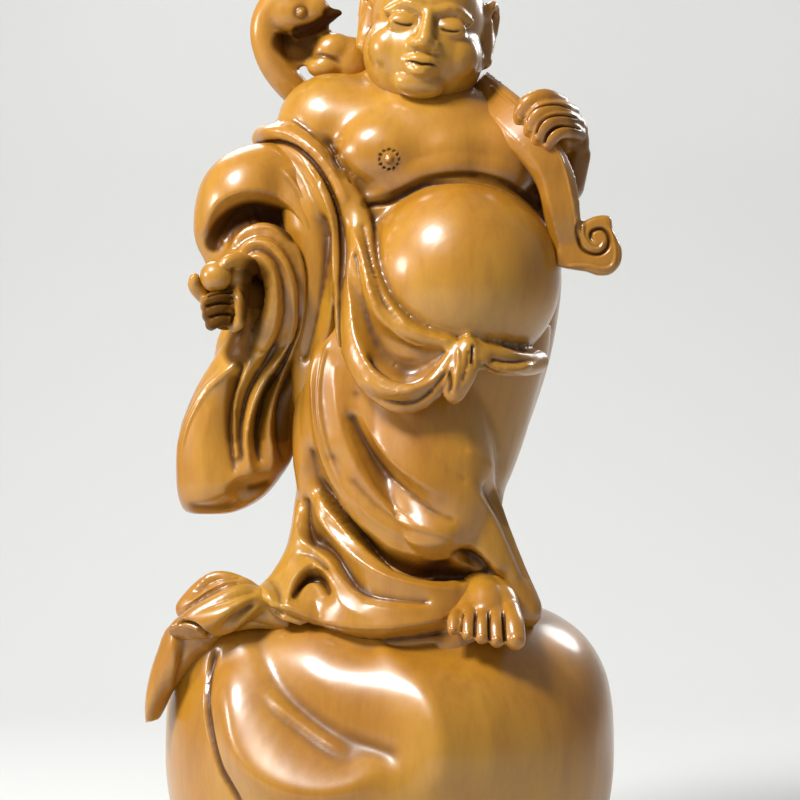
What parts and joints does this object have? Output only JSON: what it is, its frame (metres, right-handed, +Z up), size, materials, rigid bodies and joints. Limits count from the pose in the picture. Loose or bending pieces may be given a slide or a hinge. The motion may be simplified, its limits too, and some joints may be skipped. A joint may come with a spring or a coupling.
{
  "type": "laughing buddha statue",
  "caption": "Carved wooden figure of a stout robed monk standing on a tied cloth sack, with a sceptre carried over the shoulders, made as one solid with a flat base.",
  "frame": {"origin": "on the flat underside of the sack, on the statue's upright axis", "axes": "+Z up along the figure, -Y the way the figure faces, +X toward the hand that holds the sceptre"},
  "size_m": [0.2965, 0.2359, 0.6061],
  "materials": {
    "polished_wood": "polished, golden brown with darker crevices"
  },
  "bodies": {
    "root": {"statue": "polished_wood"}
  },
  "joints": []
}
